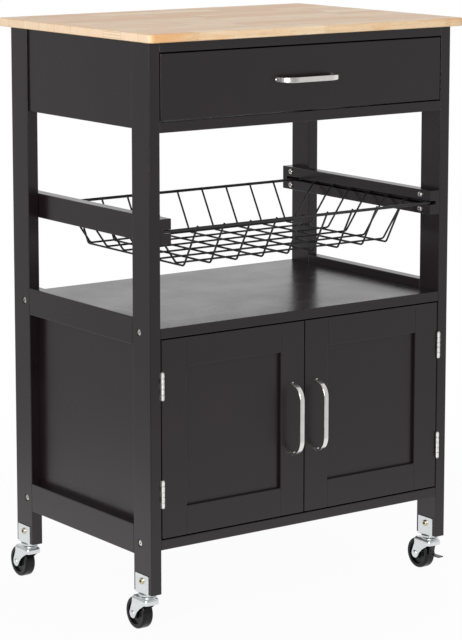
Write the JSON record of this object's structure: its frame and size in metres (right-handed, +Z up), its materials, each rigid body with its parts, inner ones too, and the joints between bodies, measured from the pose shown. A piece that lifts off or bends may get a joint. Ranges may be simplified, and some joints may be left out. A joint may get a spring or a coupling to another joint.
{
  "type": "kitchen cart",
  "caption": "Painted wooden kitchen cart on casters with a solid wood worktop, a drawer, a pull-out wire basket, an open shelf and a cabinet with framed doors.",
  "frame": {"origin": "on the floor, under the middle of the cart's overall outline", "axes": "+Z up, +X to the right as seen from the front, -Y towards the front where the drawer and doors are"},
  "size_m": [0.575, 0.4214, 0.87],
  "materials": {
    "top_wood": "clear satin lacquer",
    "painted_wood": "black satin paint",
    "painted_panel": "black satin paint on board",
    "dowel_wood": "raw beech",
    "satin_nickel": "satin nickel plate",
    "hinge_steel": "bright nickel plate",
    "zinc_steel": "blue zinc plate",
    "bright_fastener": "bright zinc plate",
    "black_wire": "black coated wire",
    "black_lever": "black coated steel",
    "black_wheel": "black moulded plastic"
  },
  "bodies": {
    "frame": {"back_apron": "painted_wood", "cabinet_back_panel": "painted_panel", "cabinet_floor": "painted_wood", "caster_brackets": "zinc_steel", "caster_screws": "zinc_steel", "door_stop": "painted_wood", "drawer_rail": "painted_wood", "drawer_runners": "painted_wood", "frame_bolts": "bright_fastener", "front_left_leg": "painted_wood", "front_right_leg": "painted_wood", "front_top_rail": "painted_wood", "hinge_frame_leaves": "hinge_steel", "hinge_pins": "hinge_steel", "left_basket_runner": "painted_wood", "left_bottom_rail": "painted_wood", "left_shelf_rail": "painted_wood", "left_side_apron": "painted_wood", "rail_dowels": "dowel_wood", "rear_left_leg": "painted_wood", "rear_right_leg": "painted_wood", "rear_top_rail": "painted_wood", "right_basket_runner": "painted_wood", "right_bottom_rail": "painted_wood", "right_shelf_rail": "painted_wood", "right_side_apron": "painted_wood", "runner_screws": "bright_fastener", "shelf": "painted_wood", "side_panels": "painted_panel", "worktop": "top_wood", "worktop_screws": "bright_fastener"},
    "drawer": {"drawer_back": "painted_wood", "drawer_bottom": "painted_panel", "drawer_front": "painted_wood", "drawer_handle": "satin_nickel", "drawer_handle_screws": "bright_fastener", "drawer_sides": "painted_wood"},
    "basket": {"basket_cross_wires": "black_wire", "basket_long_wires": "black_wire", "basket_rim": "black_wire"},
    "left_door": {"left_door_frame": "painted_wood", "left_door_handle": "satin_nickel", "left_door_handle_screws": "bright_fastener", "left_door_hinge_leaves": "hinge_steel", "left_door_panel": "painted_panel"},
    "right_door": {"right_door_frame": "painted_wood", "right_door_handle": "satin_nickel", "right_door_handle_screws": "bright_fastener", "right_door_hinge_leaves": "hinge_steel", "right_door_panel": "painted_panel"},
    "front_left_fork": {"front_left_caster_fork": "zinc_steel"},
    "front_left_wheel": {"front_left_wheel": "black_wheel"},
    "front_right_fork": {"front_right_caster_fork": "zinc_steel"},
    "front_right_wheel": {"front_right_wheel": "black_wheel"},
    "front_right_brake": {"front_right_brake_lever": "black_lever"},
    "rear_left_fork": {"rear_left_caster_fork": "zinc_steel"},
    "rear_left_wheel": {"rear_left_wheel": "black_wheel"},
    "rear_right_fork": {"rear_right_caster_fork": "zinc_steel"},
    "rear_right_wheel": {"rear_right_wheel": "black_wheel"},
    "rear_right_brake": {"rear_right_brake_lever": "black_lever"}
  },
  "joints": [
    {"name": "drawer_slide", "type": "slide", "parent": "frame", "child": "drawer", "axis": [0, -1, 0], "range_m": [0, 0.24]},
    {"name": "basket_slide", "type": "slide", "parent": "frame", "child": "basket", "axis": [0, -1, 0], "range_m": [0, 0.25]},
    {"name": "left_door_hinge", "type": "hinge", "parent": "frame", "child": "left_door", "pos_m": [-0.2571, -0.18875, 0.2869], "axis": [0, 0, -1], "range_deg": [0, 170]},
    {"name": "right_door_hinge", "type": "hinge", "parent": "frame", "child": "right_door", "pos_m": [0.2571, -0.18875, 0.2869], "axis": [0, 0, 1], "range_deg": [0, 170]},
    {"name": "front_left_swivel", "type": "hinge", "parent": "frame", "child": "front_left_fork", "pos_m": [-0.267, -0.16325, 0.0515], "axis": [0, 0, 1], "continuous": true},
    {"name": "front_left_roll", "type": "hinge", "parent": "front_left_fork", "child": "front_left_wheel", "pos_m": [-0.267, -0.14125, 0.024], "axis": [1, 0, 0], "continuous": true},
    {"name": "front_right_swivel", "type": "hinge", "parent": "frame", "child": "front_right_fork", "pos_m": [0.267, -0.16325, 0.0515], "axis": [0, 0, 1], "continuous": true},
    {"name": "front_right_roll", "type": "hinge", "parent": "front_right_fork", "child": "front_right_wheel", "pos_m": [0.267, -0.14125, 0.024], "axis": [1, 0, 0], "continuous": true},
    {"name": "front_right_brake_press", "type": "hinge", "parent": "front_right_fork", "child": "front_right_brake", "pos_m": [0.267, -0.17022, 0.04346], "axis": [1, 0, 0], "range_deg": [0, 7]},
    {"name": "rear_left_swivel", "type": "hinge", "parent": "frame", "child": "rear_left_fork", "pos_m": [-0.267, 0.16475, 0.0515], "axis": [0, 0, 1], "continuous": true},
    {"name": "rear_left_roll", "type": "hinge", "parent": "rear_left_fork", "child": "rear_left_wheel", "pos_m": [-0.267, 0.18675, 0.024], "axis": [1, 0, 0], "continuous": true},
    {"name": "rear_right_swivel", "type": "hinge", "parent": "frame", "child": "rear_right_fork", "pos_m": [0.267, 0.16475, 0.0515], "axis": [0, 0, 1], "continuous": true},
    {"name": "rear_right_roll", "type": "hinge", "parent": "rear_right_fork", "child": "rear_right_wheel", "pos_m": [0.267, 0.18675, 0.024], "axis": [1, 0, 0], "continuous": true},
    {"name": "rear_right_brake_press", "type": "hinge", "parent": "rear_right_fork", "child": "rear_right_brake", "pos_m": [0.267, 0.15778, 0.04346], "axis": [1, 0, 0], "range_deg": [0, 7]}
  ]
}
